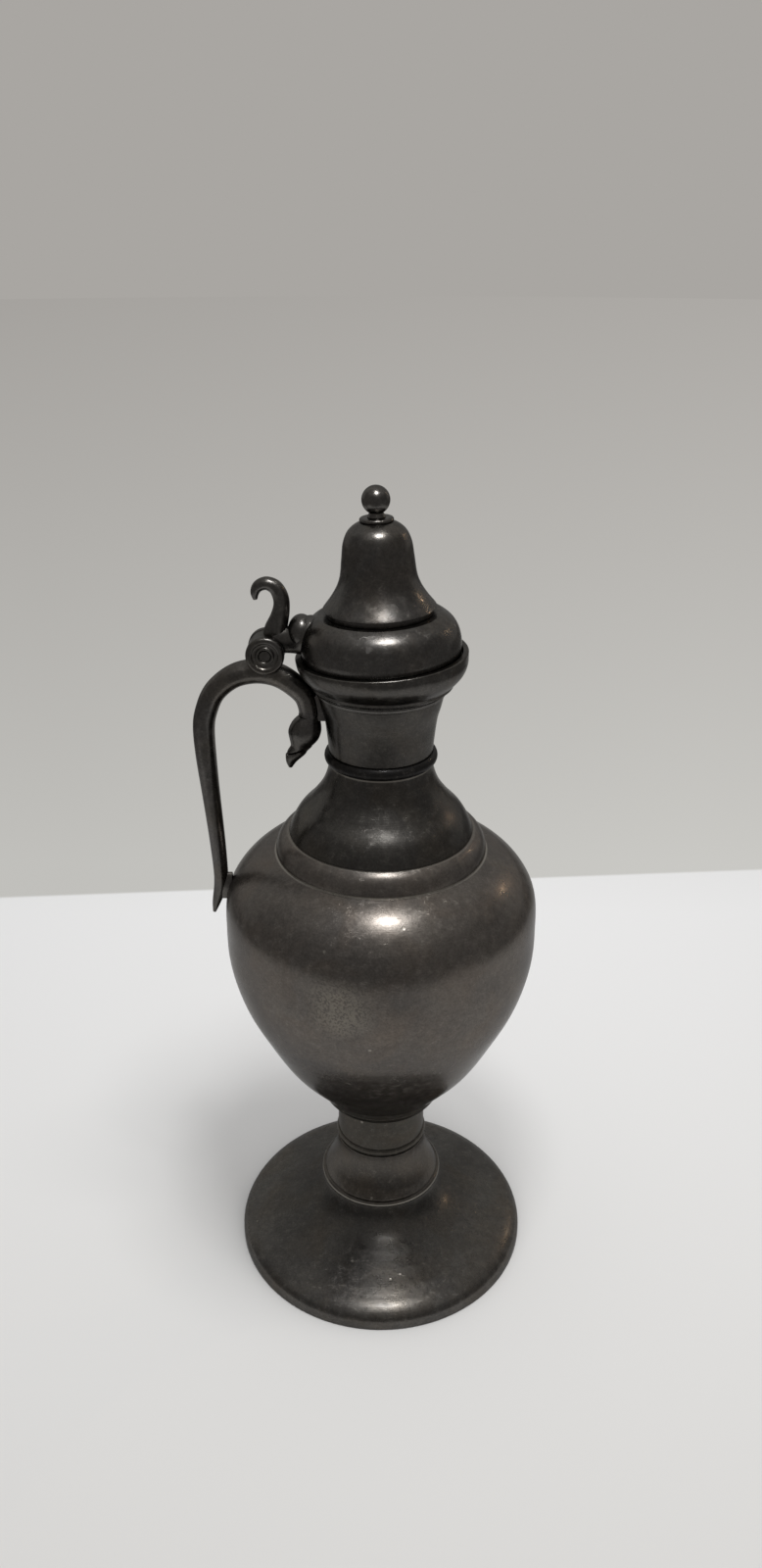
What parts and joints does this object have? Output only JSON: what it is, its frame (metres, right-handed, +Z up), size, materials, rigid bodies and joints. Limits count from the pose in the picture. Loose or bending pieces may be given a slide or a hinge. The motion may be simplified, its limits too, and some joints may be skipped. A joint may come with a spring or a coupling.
{
  "type": "lidded jug",
  "caption": "Turned pewter jug on a spreading foot, with an egg-shaped body, slender neck, slanted rim cup, hinged bell-shaped lid with a thumbpiece, and a curved handle.",
  "frame": {"origin": "centre of the foot's underside, on the surface that the jug stands on", "axes": "+Z up the middle of the body, -X towards the handle and the hinge, +X towards the pouring lip, +Y towards the far side when the handle is on the left"},
  "size_m": [0.1009, 0.0952, 0.2529],
  "materials": {
    "turned_pewter": "dark patinated pewter, turned, satin with fine scratches",
    "cast_pewter": "dark patinated pewter, cast and filed, satin"
  },
  "bodies": {
    "jug": {"foot": "turned_pewter", "knop": "turned_pewter", "stem_bead": "turned_pewter", "stem": "turned_pewter", "body_collar": "turned_pewter", "lower_body": "turned_pewter", "upper_body": "turned_pewter", "shoulder_ring": "turned_pewter", "neck": "turned_pewter", "neck_ring": "turned_pewter", "throat": "turned_pewter", "cup_collar": "turned_pewter", "rim_cup": "turned_pewter", "handle": "cast_pewter", "bird_head": "cast_pewter", "throat_strut": "cast_pewter", "tail_pad": "cast_pewter", "front_lug": "cast_pewter", "rear_lug": "cast_pewter", "hinge_pin": "turned_pewter"},
    "lid": {"lid_cushion": "turned_pewter", "lid_skirt": "turned_pewter", "lid_bell": "turned_pewter", "finial_washer": "turned_pewter", "finial": "turned_pewter", "finial_rivet": "turned_pewter", "hinge_arm": "cast_pewter", "thumbpiece": "cast_pewter"}
  },
  "joints": [
    {"name": "lid_hinge", "type": "hinge", "parent": "jug", "child": "lid", "pos_m": [-0.0316, 0, 0.2078], "axis": [0, -1, 0], "range_deg": [0, 100]}
  ]
}
